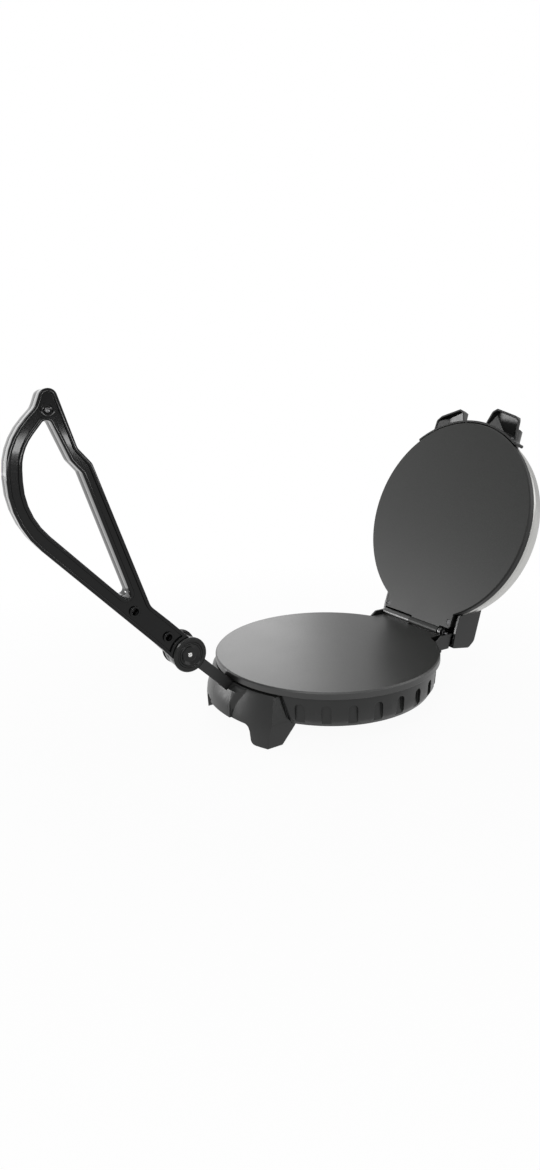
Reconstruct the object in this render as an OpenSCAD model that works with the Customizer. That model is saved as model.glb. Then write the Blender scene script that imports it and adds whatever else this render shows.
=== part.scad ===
// Electric roti maker: a fluted base, two round cooking plates on a rear hinge, a steel
// lid shell and a loop handle that swings over the lid from a knuckle in front of the base.
// The modules are drawn round the centre of the lower plate's face: -Y is the handle side,
// +Y the hinge side, +Z up. Lid pieces are drawn closed and then turned open.

/* [Plates] */
// Radius of both cooking plates
plate_r = 127; // [125:0.5:128]
// Height of a plate's rim
plate_t = 7.5; // [7:0.1:8]
// Thickness of a plate inside its rim
skin_t = 4.8; // [4:0.1:5.5]
// Height of the lower plate's face over the table
table_h = 60; // [58:0.5:62]

/* [Hinge] */
// Distance of the hinge axis behind the plates' centre
hinge_y = 136.1; // [135:0.1:138]
// Height of the hinge axis over the lower plate's face
hinge_z = 2.6; // [2.4:0.1:3]
// Angle to which the lid stands open
lid_open = 111; // [0:1:111]
// Radius of the cast hinge barrels
barrel_r = 5; // [4.6:0.1:5]
// Radius of the hinge pin
pin_r = 2; // [1.5:0.1:2.4]

/* [Base] */
// Wall radius of the base under the plate
tub_r = 123.6; // [122:0.1:124]
// Depth of the base's underside below the plate's face
tub_depth = 38.3; // [36:0.1:39]
// Width of a flute in the base's wall
flute_w = 9.6; // [6:0.2:12]
// Angle between two flutes
flute_pitch = 12.4; // [11.5:0.1:13]
// Number of flutes on each side
flute_count = 9; // [1:1:9]
// Half the width of the front saddle that carries the front feet
saddle_x = 68; // [66:0.5:70]

/* [Strut and handle] */
// Distance of the knuckle's axis in front of the plates' centre
knuckle_y = 175.7; // [175:0.1:178]
// Height of the knuckle's axis over the lower plate's face
knuckle_z = 31.9; // [31:0.1:33]
// Slope of the strut that holds the knuckle
strut_tilt = 43.9; // [43:0.1:45]
// Thickness of the strut
strut_t = 11; // [9:0.5:11]
// Width of the strut
strut_w = 20; // [16:0.5:20]
// Radius of the knuckle's cover discs
disc_r = 17.5; // [17:0.1:17.8]
// Width of the handle
handle_w = 27; // [26:0.5:28]
// Angle by which the handle is folded over the lid from its place in front
handle_fold = 0; // [0:1:104]

/* [Lid] */
// Gap between the plates when the lid is closed
plate_gap = 0.8; // [0.4:0.1:1]
// Height of the steel shell's crown over the lower plate's face
crown_z = 40; // [39:0.5:42]
// Thickness of the steel shell
shell_t = 1.2; // [0.8:0.1:1.5]
// Front reach of the two horns of the press block
horn_y = 150.5; // [148:0.5:151]
// Radius of the thermostat knob
knob_r = 15; // [12:0.5:17]

/* [Hidden] */

$fn = 96;
arc_step = 12;
far = 400;
slip = 0.05;

black = [0.07, 0.07, 0.075];
dark = [0.2, 0.2, 0.21];
coating = [0.27, 0.27, 0.26];
steel = [0.74, 0.75, 0.76];
zinc = [0.6, 0.6, 0.6];
rubber = [0.11, 0.11, 0.11];

// The handle reaches further forward than the open lid reaches back, so the modules are
// shifted to put the origin under the middle of the whole outline.
shift_y = 39.75;

// Heights of the base, from the plate's face down
tub_top = -plate_t - 0.8;
tub_floor = -tub_depth;
floor_t = 2.5;
flare_z = -31;
tub_low_r = tub_r - 2.4;
tub_foot_r = tub_r - 7.1;
tub_wall = 4.8;
floor_hole_r = 98;
cover_r = 104;
cover_t = 2;
pad_r = 5.5;
pad_t = 2;
foot_bottom = -table_h + 0.8;
rear_foot = [50, 84];
screw_hole_r = 2;
vent_rows = 5;
fuse_r = 4;
post_r = 4;
post_ring = 101;
post_angles = [20, 160, 235, 305];

// Tube heaters under both plates
heater_ring = 78;
heater_r = 4;
heater_turn = 330;
heater_start = 75;
terminal_in = 5;
terminal_r = 2.6;
terminal_len = 9;

// Flutes
first_flute = -48.2;
flute_top = -15;
flute_depth_r = tub_r - 5;

// Saddle, boss and front feet
saddle_top = -9.2;
foot_in = 49;
front_pad = [60.3, -112];
boss_x = 18;
slot_gap = 0.4;
notch_x = 17.5;

// Rear block
cheek_in = 58;
cheek_out = 60.6;
block_bottom = -12.2;
block_top = -6.6;
block_y = 132;
bushing_angle = 135.2;
bushing_z = -23;
bushing_wall_r = 122;
bushing_r = 5;
bushing_flange_r = 7;
bushing_bore_r = 3.4;
bushing_seat = 0.8;

// Hinge barrels along X
lower_barrel = [-54.5, -6.9];
upper_barrel = [-6.5, 41.5];
end_barrel = [43.8, 47.4];
pin_span = [-56.2, 56.5];
neck_end = 129.6;

// Strut foot
strut_len = 99;
strut_foot_z = -33.2;
bolt_yz = [-114, -25.5];
bolt_r = 2.5;
knuckle_pin_r = 3;
fork_gap = 0.35;
fork_clear_r = 17.4;
eye_r = 14.5;

// Lid heights
face_z = plate_gap;
back_z = plate_gap + plate_t;
shell_low = back_z + 0.9;
shell_r = plate_r - 0.6;
neck_screw_at = [[-50.8, 124.3], [53.5, 122.5]];
lamp_at = [[-11, 127], [11, 127]];
lamp_r = 3;
knob_at = [0, 94];
shaft_r = 3;
pod_z = 43;
panel_z = pod_z + 0.6;
knob_z = panel_z + 0.4;
housing_x = 64;
housing_wall = 2.8;

// ---- Outline helpers ----

function unit(v) = v / norm(v);
function flat(p) = [p[0], p[1]];
function wrap(a) = a > 180 ? a - 360 : a < -180 ? a + 360 : a;

// Arc of a radius that rounds corner b between its neighbours a and c
function corner_arc(a, b, c, radius) =
    let (to_a = unit(a - b),
         to_c = unit(c - b),
         half = acos(to_a * to_c) / 2,
         centre = b + unit(to_a + to_c) * radius / sin(half),
         first = b + to_a * radius / tan(half) - centre,
         last = b + to_c * radius / tan(half) - centre,
         from = atan2(first[1], first[0]),
         turn = wrap(atan2(last[1], last[0]) - from),
         steps = max(1, ceil(abs(turn) / arc_step)))
    [for (i = [0:steps])
        centre + radius * [cos(from + turn * i / steps), sin(from + turn * i / steps)]];

// Closed outline from corners given as [across, up, corner radius]
function rounded(corners) =
    let (n = len(corners))
    [for (i = [0:n - 1])
        let (a = flat(corners[(i + n - 1) % n]),
             b = flat(corners[i]),
             c = flat(corners[(i + 1) % n]),
             radius = corners[i][2])
        each radius > 0 ? corner_arc(a, b, c, radius) : [b]];

// Twice the area inside the corners, positive where they run anticlockwise
function turning(corners, i = 0) =
    i == len(corners) ? 0 :
    cross(flat(corners[i]), flat(corners[(i + 1) % len(corners)])) + turning(corners, i + 1);

// The same corners drawn inwards by a distance square to the sides
function inset(corners, d) =
    let (n = len(corners),
         way = sign(turning(corners)))
    [for (i = [0:n - 1])
        let (a = flat(corners[(i + n - 1) % n]),
             b = flat(corners[i]),
             c = flat(corners[(i + 1) % n]),
             u = unit(b - a),
             v = unit(c - b),
             nu = way * [-u[1], u[0]],
             nv = way * [-v[1], v[0]],
             q = b + (nu + nv) * d / (1 + nu * nv),
             bulge = sign(way * cross(u, v)),
             radius = corners[i][2])
        [q[0], q[1], radius > 0 ? max(0.5, radius - bulge * d) : 0]];

// ---- Placing ----

module on_table() {
    translate([0, shift_y, table_h]) children();
}

module on_lid() {
    on_table()
        translate([0, hinge_y, hinge_z])
            rotate([-lid_open, 0, 0])
                translate([0, -hinge_y, -hinge_z])
                    children();
}

module on_handle() {
    on_table()
        translate([0, -knuckle_y, knuckle_z])
            rotate([-handle_fold, 0, 0])
                translate([0, knuckle_y, -knuckle_z])
                    children();
}

// Side outline, drawn as [y, z], made solid between two x
module along_x(from, to) {
    translate([from, 0, 0])
        rotate([90, 0, 90])
            linear_extrude(to - from)
                children();
}

// Front outline, drawn as [x, z], made solid between two y
module along_y(from, to) {
    translate([0, to, 0])
        rotate([90, 0, 0])
            linear_extrude(to - from)
                children();
}

module rod_x(at, radius, from, to) {
    translate([from, at[0], at[1]])
        rotate([0, 90, 0])
            cylinder(r = radius, h = to - from);
}

module both_sides() {
    children();
    mirror([1, 0, 0]) children();
}

// ---- Base ----

// Outside of the base's wall, filled
module tub_solid() {
    rotate_extrude()
        polygon([[0, tub_floor], [tub_foot_r, tub_floor], [tub_low_r, flare_z],
            [tub_r, tub_top], [0, tub_top]]);
}

module flute() {
    translate([flute_depth_r, 0, 0])
        rotate([90, 0, 90])
            linear_extrude(20) {
                translate([-flute_w / 2, tub_floor - 1])
                    square([flute_w, flute_top - flute_w / 2 - tub_floor + 1]);
                translate([0, flute_top - flute_w / 2])
                    circle(r = flute_w / 2);
            }
}

module at_posts(radius = post_ring) {
    for (a = post_angles)
        rotate([0, 0, a])
            translate([radius, 0, 0])
                children();
}

module at_bushing() {
    rotate([0, 0, bushing_angle])
        translate([bushing_wall_r, 0, bushing_z])
            rotate([0, 90, 0])
                children();
}

// Seam beside the saddle, seen from the front: [x, z]
saddle_seam = [[saddle_x - 4, saddle_top + 3], [saddle_x, saddle_top + 3],
    [saddle_x + 7, tub_floor - 1], [saddle_x + 2, tub_floor - 1]];

module base_tub() {
    color(black) on_table() difference() {
        rotate_extrude()
            polygon([[floor_hole_r, tub_floor], [tub_foot_r, tub_floor], [tub_low_r, flare_z],
                [tub_r, tub_top], [tub_r - tub_wall, tub_top], [tub_low_r - tub_wall, flare_z],
                [tub_low_r - tub_wall - 1.5, tub_floor + floor_t],
                [floor_hole_r, tub_floor + floor_t]]);
        both_sides()
            for (k = [0:flute_count - 1])
                rotate([0, 0, first_flute + flute_pitch * k])
                    flute();
        translate([-notch_x, -far / 2, tub_floor + floor_t])
            cube([2 * notch_x, far / 2 - 95, far]);
        both_sides() intersection() {
            along_y(-150, -60) polygon(saddle_seam);
            rotate_extrude() polygon([[tub_r - 3 - 2.4, tub_floor - 1], [tub_r + 5, tub_floor - 1],
                [tub_r + 5, 0], [tub_r - 3, 0]]);
        }
        at_bushing() {
            cylinder(r = bushing_r, h = 30, center = true);
            translate([0, 0, -bushing_seat])
                cylinder(r = bushing_flange_r + slip, h = 10);
        }
        at_posts()
            translate([0, 0, tub_floor - 1])
                cylinder(r = screw_hole_r, h = floor_t + 2);
    }
}

// Skin of the saddle: [radius, height], from its top edge to the feet's underside
saddle_skin = [[127.6, saddle_top], [129.6, -12.5], [133.4, -24], [137.2, -37], [138, -44],
    [137, foot_bottom], [90, foot_bottom], [90, saddle_top]];
// Skin of the boss round the strut
boss_skin = [[126.5, saddle_top], [134, -14.2], [138.4, -28], [139.4, -40], [90, -40],
    [90, saddle_top]];
// Front outline of half the saddle with its foot: [x, z, corner radius]
saddle_half = [[0, saddle_top, 0], [saddle_x - 2.5, saddle_top, 2], [saddle_x + 3, -35, 8],
    [saddle_x, foot_bottom, 1.5], [foot_in, foot_bottom, 5], [foot_in - 1, -40, 7], [0, -40, 0]];
// Side outline that shapes the back of the feet: [y, z]
saddle_back = -88;
foot_side = [[-150, 0], [-150, foot_bottom], [-103.6, foot_bottom], [-90, -42],
    [saddle_back, tub_floor], [saddle_back, 0]];
// Hollow under the skin, open below
saddle_hollow = [[125.6, -18], [128.4, -18], [134.4, -37], [134.8, -50], [119.6, -50],
    [119.6, -38.4], [124, flare_z]];

module front_saddle() {
    color(black) on_table() difference() {
        union() {
            intersection() {
                rotate_extrude() polygon(saddle_skin);
                both_sides() along_y(-150, -60) polygon(rounded(saddle_half));
                along_x(-80, 80) polygon(foot_side);
            }
            intersection() {
                rotate_extrude() polygon(boss_skin);
                along_y(-150, -90)
                    polygon([[-boss_x, saddle_top], [boss_x, saddle_top],
                        [boss_x + 4, -40], [-boss_x - 4, -40]]);
            }
        }
        tub_solid();
        strut_bar(slot_gap);
        both_sides() intersection() {
            rotate_extrude() polygon(saddle_hollow);
            along_y(-150, -100) translate([16, -50]) square([20, 34]);
        }
        both_sides()
            translate([front_pad[0], front_pad[1], foot_bottom - 1])
                cylinder(r = pad_r + slip, h = 1 + pad_t - 0.8);
    }
}

module rear_leg() {
    translate([rear_foot[0], rear_foot[1], 0]) intersection() {
        along_x(-11, 11)
            polygon([[-15, tub_floor - cover_t], [-9, foot_bottom], [9, foot_bottom],
                [13, tub_floor - cover_t]]);
        along_y(-20, 20)
            polygon([[-12, tub_floor - cover_t], [-8.5, foot_bottom], [8.5, foot_bottom],
                [11, tub_floor - cover_t]]);
    }
}

// Disc under the base with a straight edge along the saddle, vent slots and the rear legs
module bottom_cover() {
    color(black) on_table() difference() {
        union() {
            translate([0, 0, tub_floor - cover_t])
                cylinder(r = cover_r, h = cover_t);
            both_sides() rear_leg();
        }
        translate([-cover_r, saddle_back - 0.5 - cover_r, tub_floor - cover_t - 1])
            cube([2 * cover_r, cover_r + 1, cover_t + 2]);
        for (row = [-vent_rows:vent_rows])
            translate([-30, row * 8 - 1.5, tub_floor - cover_t - 1])
                cube([60, 3, cover_t + 2]);
        both_sides()
            translate([rear_foot[0], rear_foot[1], foot_bottom - 1])
                cylinder(r = pad_r + slip, h = 1 + pad_t - 0.8);
        at_posts()
            translate([0, 0, tub_floor - cover_t - 1])
                cylinder(r = screw_hole_r, h = cover_t + 2);
    }
}

module foot_pads() {
    color(rubber) on_table()
        both_sides()
            for (at = [front_pad, rear_foot])
                translate([at[0], at[1], -table_h])
                    cylinder(r = pad_r, h = pad_t);
}

module bottom_screws() {
    color(zinc) on_table()
        at_posts()
            translate([0, 0, tub_floor - cover_t]) {
                cylinder(r = 1.9, h = 12);
                translate([0, 0, -1.6]) difference() {
                    cylinder(r = 3.6, h = 1.6);
                    for (a = [0, 90])
                        rotate([0, 0, a])
                            translate([-2.2, -0.4, -0.2])
                                cube([4.4, 0.8, 1]);
                }
            }
}

// Sleeve for a cord, seated in the wall between an outer and an inner flange
module cord_bushing() {
    neck = bushing_r - slip;
    inside = -tub_wall - 0.6;
    color(black) on_table() at_bushing()
        rotate_extrude()
            polygon([[bushing_bore_r, inside - 2], [neck + 1.2, inside - 2],
                [neck + 1.2, inside], [neck, inside], [neck, -bushing_seat],
                [bushing_flange_r, -bushing_seat], [bushing_flange_r, 1.6], [neck, 5],
                [bushing_bore_r, 5]]);
}

// Side outline of a cheek: [y, z, corner radius]
cheek_side = [[104, block_bottom, 0], [block_y, block_bottom, 2], [136, 1.3, 2],
    [141.4, 4.2, 0.8], [122.2, 4.2, 2], [114, -1.4, 1]];

// Block behind the base whose cheeks stand beside the hinge
module rear_hinge_block() {
    color(black) on_table() difference() {
        union() {
            along_x(-cheek_out, cheek_out)
                polygon([[92, block_bottom - 18], [120.5, block_bottom - 2],
                    [120.5, block_bottom], [block_y, block_bottom], [block_y, block_top],
                    [92, block_top]]);
            both_sides()
                along_x(cheek_in, cheek_out)
                    polygon(rounded(cheek_side));
        }
        tub_solid();
        cylinder(r = plate_r + 0.6, h = 4 * plate_t, center = true);
    }
}

// ---- Plates and heaters ----

// Outline of a plate from its centre: face at zero, rim downwards
plate_profile = [[0, 0], [plate_r - 1.4, 0], [plate_r, -1.4], [plate_r, -plate_t + 0.7],
    [plate_r - 0.7, -plate_t], [plate_r - 6, -plate_t], [plate_r - 7.5, -skin_t],
    [0, -skin_t]];

module lower_plate() {
    color(coating) on_table() difference() {
        union() {
            rotate_extrude() polygon(plate_profile);
            mirror([0, 0, 1]) linear_extrude(plate_t - 1.5)
                polygon([[lower_barrel[0], 104], [end_barrel[1], 104], [end_barrel[1], 121],
                    [end_barrel[0], neck_end], [lower_barrel[0], neck_end]]);
            for (barrel = [lower_barrel, end_barrel]) {
                along_x(barrel[0], barrel[1])
                    polygon([[120, -6], [hinge_y - 1, -6], [hinge_y + 2.6, -1.6],
                        [hinge_y, hinge_z], [hinge_y - 4.4, 0], [120, 0]]);
                rod_x([hinge_y, hinge_z], barrel_r, barrel[0], barrel[1]);
            }
        }
        rod_x([hinge_y, hinge_z], pin_r + slip, -far, far);
    }
}

module gasket(radius, from, to) {
    translate([0, 0, from]) difference() {
        cylinder(r = radius, h = to - from);
        translate([0, 0, -1]) cylinder(r = radius - 3.4, h = to - from + 2);
    }
}

module base_gasket() {
    color(dark) on_table() gasket(tub_r - 0.8, tub_top, -plate_t);
}

// Tube heater bent to an open ring, with a terminal near each end
module heater(way) {
    rotate_extrude(angle = heater_turn)
        translate([heater_ring, 0])
            circle(r = heater_r);
    for (a = [terminal_in, heater_turn - terminal_in])
        rotate([0, 0, a])
            translate([heater_ring, 0, way > 0 ? 0 : -terminal_len])
                cylinder(r = terminal_r, h = terminal_len);
}

module lower_element() {
    color(zinc) on_table()
        translate([0, 0, -skin_t - heater_r])
            rotate([0, 0, heater_start])
                heater(-1);
}

module heat_shield(radius) {
    difference() {
        rotate_extrude()
            polygon([[0, 0], [radius - 6, 0], [radius, 4], [radius, 5], [radius - 6.4, 0.8],
                [0, 0.8]]);
        for (a = [terminal_in, heater_turn - terminal_in])
            rotate([0, 0, heater_start + a])
                translate([heater_ring, 0, -5])
                    cylinder(r = terminal_r + 2, h = 20);
    }
}

module lower_heat_shield() {
    color(zinc) on_table()
        translate([0, 0, -19]) heat_shield(94);
}

module plate_posts() {
    color(zinc) on_table() at_posts()
        translate([0, 0, tub_floor + floor_t]) difference() {
            cylinder(r = post_r, h = -skin_t - tub_floor - floor_t);
            translate([0, 0, -1]) cylinder(r = 1.95, h = 14);
        }
}

module thermal_fuse() {
    color(zinc) on_table()
        rod_x([30, -skin_t - fuse_r], fuse_r, -14, 14);
}

// ---- Strut and knuckle ----

// Flat bar from the knuckle down to its bracket, grown by a gap
module strut_bar(gap) {
    translate([0, -knuckle_y, knuckle_z])
        rotate([-strut_tilt, 0, 0])
            translate([-strut_w / 2 - gap, 0, -strut_t / 2 - gap])
                cube([strut_w + 2 * gap, strut_len, strut_t + 2 * gap]);
}

module strut() {
    color(dark) on_table() difference() {
        union() {
            intersection() {
                strut_bar(0);
                translate([-far / 2, -far / 2, strut_foot_z]) cube(far);
            }
            rod_x([-knuckle_y, knuckle_z], eye_r, -strut_w / 2, strut_w / 2);
        }
        rod_x([-knuckle_y, knuckle_z], knuckle_pin_r + slip, -far, far);
        rod_x(bolt_yz, bolt_r + slip, -far, far);
    }
}

module strut_bracket() {
    floor_z = tub_floor + floor_t;
    web_x = strut_w / 2 + 0.1;
    color(zinc) on_table() difference() {
        along_x(-web_x - 3, web_x + 3)
            polygon([[-116, floor_z], [-120, -30], [-120, -15.8], [-96, -15.8], [-96, floor_z]]);
        translate([-web_x, -130, strut_foot_z])
            cube([2 * web_x, 50, 40]);
        rod_x(bolt_yz, bolt_r + slip, -far, far);
    }
}

module strut_bolt() {
    cheek_x = strut_w / 2 + 3.1;
    color(steel) on_table() {
        rod_x(bolt_yz, bolt_r, -cheek_x - 3, cheek_x + 3);
        both_sides()
            translate([cheek_x, bolt_yz[0], bolt_yz[1]])
                rotate([0, 90, 0])
                    cylinder(r = 4.2, h = 3, $fn = 6);
    }
}

// Cover disc with a raised ring round a dish
module knuckle_disc() {
    translate([handle_w / 2 + 0.3, -knuckle_y, knuckle_z])
        rotate([0, 90, 0]) difference() {
            rotate_extrude()
                polygon([[knuckle_pin_r + slip, 0], [disc_r, 0], [disc_r, 1.4],
                    [disc_r - 1.2, 2.6], [12, 2.6], [11.4, 1.9], [10.7, 1.9], [10.1, 2.6],
                    [8.8, 2.6], [7.4, 1.2], [knuckle_pin_r + slip, 1.2]]);
        }
}

module knuckle_disc_right() {
    color(black) on_table() knuckle_disc();
}

module knuckle_disc_left() {
    color(black) on_table() mirror([1, 0, 0]) knuckle_disc();
}

module knuckle_pin() {
    outer = handle_w / 2 + 1.5;
    color(steel) on_table() {
        rod_x([-knuckle_y, knuckle_z], knuckle_pin_r, -outer, outer);
        both_sides()
            translate([outer, -knuckle_y, knuckle_z])
                rotate([0, 90, 0])
                    rotate_extrude()
                        polygon([[0, 0], [3.5, 0], [3.3, 0.8], [2.4, 1.3], [1.2, 1.3],
                            [0.8, 0.8], [0, 0.8]]);
    }
}

module hinge_pin() {
    color(steel) on_table() {
        rod_x([hinge_y, hinge_z], pin_r, pin_span[0], pin_span[1]);
        rod_x([hinge_y, hinge_z], pin_r + 1.4, pin_span[0] - 1.5, pin_span[0]);
        translate([end_barrel[1] + 0.5, hinge_y, hinge_z])
            rotate([0, 90, 0])
                cylinder(r = pin_r + 1.6, h = 3, $fn = 6);
    }
}

module hinge_clips() {
    color(steel) on_table()
        for (x = [lower_barrel[0] - 1.6, upper_barrel[1] + 0.6])
            difference() {
                rod_x([hinge_y, hinge_z], pin_r + 1.9, x, x + 1.2);
                rod_x([hinge_y, hinge_z], pin_r + slip, x - 1, x + 3);
            }
}

// ---- Lid ----

module upper_plate() {
    color(coating) on_lid() difference() {
        union() {
            translate([0, 0, face_z]) mirror([0, 0, 1])
                rotate_extrude() polygon(plate_profile);
            translate([0, 0, face_z]) linear_extrude(plate_t - 0.8)
                polygon([[-56, 104], [57.4, 104], [57.4, neck_end - 2.6], [55, neck_end],
                    [-56, neck_end]]);
            along_x(upper_barrel[0], upper_barrel[1])
                polygon([[120, face_z], [hinge_y, face_z], [hinge_y + 2, hinge_z + 4.1],
                    [hinge_y - 2, face_z + plate_t - 0.8], [120, face_z + plate_t - 0.8]]);
            rod_x([hinge_y, hinge_z], barrel_r, upper_barrel[0], upper_barrel[1]);
        }
        rod_x([hinge_y, hinge_z], pin_r + slip, -far, far);
        for (at = neck_screw_at)
            translate([at[0], at[1], 0]) {
                cylinder(r = 1.8, h = 20);
                cylinder(r = 3.5, h = face_z + 1.2);
            }
    }
}

module neck_screws() {
    color(zinc) on_lid()
        for (at = neck_screw_at)
            translate([at[0], at[1], face_z + 0.2]) {
                cylinder(r = 1.7, h = 11);
                difference() {
                    cylinder(r = 3.3, h = 1);
                    for (a = [45, 135])
                        rotate([0, 0, a])
                            translate([-2, -0.4, -0.3])
                                cube([4, 0.8, 0.9]);
                }
            }
}

module lid_gasket() {
    color(dark) on_lid() gasket(plate_r - 1.4, back_z, shell_low);
}

module upper_element() {
    color(zinc) on_lid()
        translate([0, 0, face_z + skin_t + heater_r])
            rotate([0, 0, heater_start])
                heater(1);
}

module lid_heat_shield() {
    color(zinc) on_lid() difference() {
        translate([0, 0, face_z + skin_t + 12]) mirror([0, 0, 1])
            translate([0, 0, -0.8]) heat_shield(94);
        translate([knob_at[0], knob_at[1], 0]) cylinder(r = 22, h = 60);
    }
}

// Outside of the steel shell from its crown to its rim: [radius, height]
step_r = 111;
function dome_z(r) = crown_z - 7 * pow(r / step_r, 2);
function shell_outer() = concat(
    [for (i = [0:6]) let (r = step_r * i / 6) [r, dome_z(r)]],
    [[112.4, 31.7], [117.4, 30.9]],
    [for (a = [70, 50, 30, 10]) [117 + 5.4 * cos(a), 25.4 + 5.4 * sin(a)]],
    [[124.6, 15], [shell_r, 12.4], [shell_r, shell_low]]);

// Inside of the shell, one thickness in from the outside
function shell_inner() = concat(
    [[shell_r - shell_t, shell_low], [shell_r - shell_t, 12], [124.6 - shell_t, 14.6]],
    [for (a = [10, 30, 50, 70])
        [117 + (5.4 - shell_t) * cos(a), 25.4 + (5.4 - shell_t) * sin(a)]],
    [[117.3, 30.9 - shell_t], [111.9, 31.7 - shell_t]],
    [for (i = [6:-1:0]) let (r = (step_r - 0.4) * i / 6) [r, dome_z(r) - shell_t]]);

module shell_solid() {
    rotate_extrude()
        polygon(concat(shell_outer(), [[0, shell_low]]));
}

module lid_shell() {
    color(steel) on_lid() difference() {
        rotate_extrude()
            polygon(concat(shell_outer(), shell_inner()));
        translate([knob_at[0], knob_at[1], 0]) cylinder(r = shaft_r + 1, h = 60);
    }
}

horn_z = 14;
// Plan of one horn with its arm over the shell: [x, y, corner radius]
horn_plan = [[18.5, -104, 4], [18.5, -132, 4], [24, -horn_y + 4, 4], [31, -horn_y, 3],
    [62, -horn_y + 9.7, 6], [69, -horn_y + 16, 4], [70.5, -106, 3], [60, -88, 8],
    [44, -82, 12], [26, -86, 8]];
// Side outline of the block's top: [y, z, corner radius]
horn_side = [[-170, horn_z, 0], [-122, 34, 16], [-98, 42.6, 12], [-76, 36.5, 0],
    [-76, horn_z, 0]];
// Front outlines: of the horn's hood before the plate and of its arm over the shell
hood_front = [[15, horn_z, 0], [15, 15.5, 0], [33, 31, 4], [40, 36, 4], [48, 36, 4],
    [69, 16, 2], [74, 15, 0], [74, horn_z, 0]];
arm_front = [[15, horn_z, 0], [15, 28, 0], [24, 40, 5], [56, 40, 8], [66, 28, 8],
    [71, 16, 3], [74, 15, 0], [74, horn_z, 0]];
hood_back = -124;
hood_t = 2.2;
bead_at = [79.5, -102.2];

// Solid of a horn, drawn in by a distance
module horn(d) {
    intersection() {
        linear_extrude(60) polygon(rounded(inset(horn_plan, d)));
        along_x(0, 90) translate([0, -d]) polygon(rounded(horn_side));
        union() {
            along_y(-170, hood_back) translate([0, -d]) polygon(rounded(hood_front));
            along_y(hood_back - 0.01, -70) translate([0, -d]) polygon(rounded(arm_front));
        }
    }
}

module press_block() {
    color(black) on_lid() difference() {
        union() {
            both_sides() horn(0);
            intersection() {
                translate([0, 0, 2.2]) difference() {
                    cylinder(r = plate_r + 3.6, h = horn_z);
                    translate([0, 0, -1]) cylinder(r = plate_r - 4, h = 20);
                }
                translate([-bead_at[0], -150, 0]) cube([2 * bead_at[0], 150 + bead_at[1], 30]);
            }
            both_sides()
                translate([bead_at[0], bead_at[1], 3])
                    cylinder(r = 2, h = horn_z);
        }
        both_sides() difference() {
            horn(hood_t);
            cylinder(r = plate_r + 3, h = 100);
        }
        shell_solid();
        translate([0, 0, -1]) cylinder(r = plate_r + 1.3, h = shell_low + 3);
    }
}

// Rear housing: side outline of the outside and of the hollow, [y, z, corner radius]
housing_side = [[92, 5, 0], [92, 36.5, 0], [98, 38.6, 6], [135.5, 39.4, 8], [144.8, 33, 6],
    [150, 7.6, 1], [128, 5, 0]];
housing_hollow = [[90, 9.2, 0], [90, 34.4, 0], [98, 36, 6], [134.5, 36.6, 6], [142.2, 31.6, 4],
    [147.4, 6, 0], [147.4, -9, 0], [90, -9, 0]];
// Plan of the control panel's pod: [x, y, corner radius]
pod_plan = [[-60, 137, 8], [-60, 108, 40], [-38, 56, 40], [38, 56, 40], [60, 108, 40],
    [60, 137, 8]];

module pod(grow, from, to) {
    translate([0, 0, from])
        linear_extrude(to - from)
            polygon(rounded(inset(pod_plan, -grow)));
}

module rear_housing() {
    color(black) on_lid() difference() {
        union() {
            along_x(-housing_x, housing_x) polygon(rounded(housing_side));
            pod(1.5, 24, 41);
            pod(0, 30, pod_z);
        }
        difference() {
            along_x(housing_wall - housing_x, housing_x - housing_wall)
                polygon(rounded(housing_hollow));
            for (at = neck_screw_at)
                translate([at[0], at[1], back_z - 0.8])
                    cylinder(r = 5.4, h = 40);
        }
        shell_solid();
        translate([0, 0, -20]) cylinder(r = plate_r + 1, h = shell_low + 20);
        for (at = neck_screw_at)
            translate([at[0], at[1], 0]) cylinder(r = 1.75, h = 16);
        pod(-4, pod_z - 1.6, pod_z + 5);
        for (at = lamp_at)
            translate([at[0], at[1], pod_z - 6]) cylinder(r = lamp_r + slip, h = 20);
        translate([knob_at[0], knob_at[1], 0]) cylinder(r = shaft_r + 1, h = 60);
    }
}

module control_panel() {
    color(dark) on_lid() difference() {
        pod(-4 - slip, pod_z - 1.6, panel_z);
        translate([knob_at[0], knob_at[1], 0]) cylinder(r = shaft_r + 1, h = 60);
        for (at = lamp_at)
            translate([at[0], at[1], 0]) cylinder(r = lamp_r + slip, h = 60);
    }
}

module lamp(at) {
    translate([at[0], at[1], pod_z - 6])
        rotate_extrude()
            polygon([[0, 0], [lamp_r, 0], [lamp_r, 7.4], [lamp_r - 0.8, 8.4], [0, 9]]);
}

module power_lamp() {
    color([0.75, 0.06, 0.05]) on_lid() lamp(lamp_at[0]);
}

module ready_lamp() {
    color([0.1, 0.6, 0.18]) on_lid() lamp(lamp_at[1]);
}

module thermostat_bracket() {
    color(zinc) on_lid()
        translate([knob_at[0], knob_at[1], face_z + skin_t]) difference() {
            translate([-18, -9, 0]) cube([36, 18, 9]);
            translate([-12, -10, -1]) cube([24, 20, 8]);
        }
}

module thermostat() {
    color(zinc) on_lid()
        translate([knob_at[0], knob_at[1], 0]) {
            translate([0, 0, face_z + skin_t + 9]) cylinder(r = 12, h = 13);
            translate([0, 0, face_z + skin_t + 20])
                cylinder(r = shaft_r, h = knob_z + 8.6 - face_z - skin_t - 20);
        }
}

module thermostat_knob() {
    color(black) on_lid()
        translate([knob_at[0], knob_at[1], knob_z]) difference() {
            union() {
                rotate_extrude()
                    polygon([[0, 0], [knob_r, 0], [knob_r, 1.6], [knob_r - 2, 3],
                        [knob_r - 2.6, 10.4], [knob_r - 3.8, 11.6], [0, 11.6]]);
                for (a = [0:20:340])
                    rotate([0, 0, a])
                        translate([knob_r - 2.9, 0, 1])
                            cylinder(r = 0.9, h = 9.6);
            }
            translate([0, 0, -1]) cylinder(r = shaft_r + slip, h = 9.9);
            translate([-0.8, 4, 10.9]) cube([1.6, 8, 2]);
        }
}

// ---- Handle ----

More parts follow.
